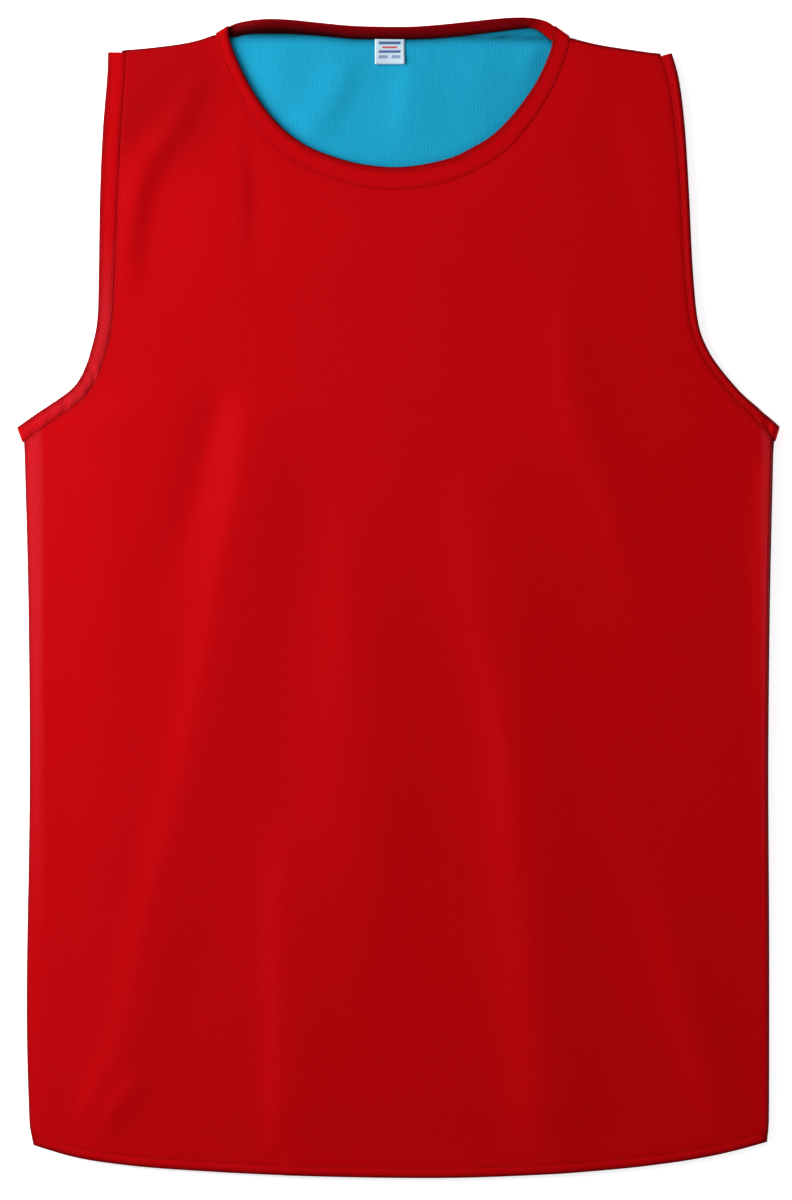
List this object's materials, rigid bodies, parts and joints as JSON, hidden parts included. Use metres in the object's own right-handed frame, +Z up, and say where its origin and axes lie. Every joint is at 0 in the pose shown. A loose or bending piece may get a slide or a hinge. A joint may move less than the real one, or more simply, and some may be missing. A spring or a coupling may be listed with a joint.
{
  "type": "reversible training bib",
  "caption": "Sleeveless reversible training bib laid flat, red side out and blue side in, with bound neck and armholes, a turned curved hem and a neck label.",
  "frame": {"origin": "middle of the laid-out bib's length and width, on the surface that it lies on", "axes": "+X across the bib, to the right as seen from above with the neck away from the viewer; +Y from the hem towards the neck; +Z up, out of the front"},
  "size_m": [0.4621, 0.705, 0.0086],
  "materials": {
    "red_cloth": "smooth red polyester knit with a soft sheen",
    "blue_cloth": "smooth blue polyester knit with a soft sheen",
    "red_band": "folded red knit binding",
    "label_tape": "white woven tape"
  },
  "bodies": {
    "root": {"front_outer": "red_cloth", "back_outer": "red_cloth", "front_lining": "blue_cloth", "back_lining": "blue_cloth", "neck_band": "red_band", "armhole_band_left": "red_band", "armhole_band_right": "red_band", "neck_label": "label_tape"}
  },
  "joints": []
}
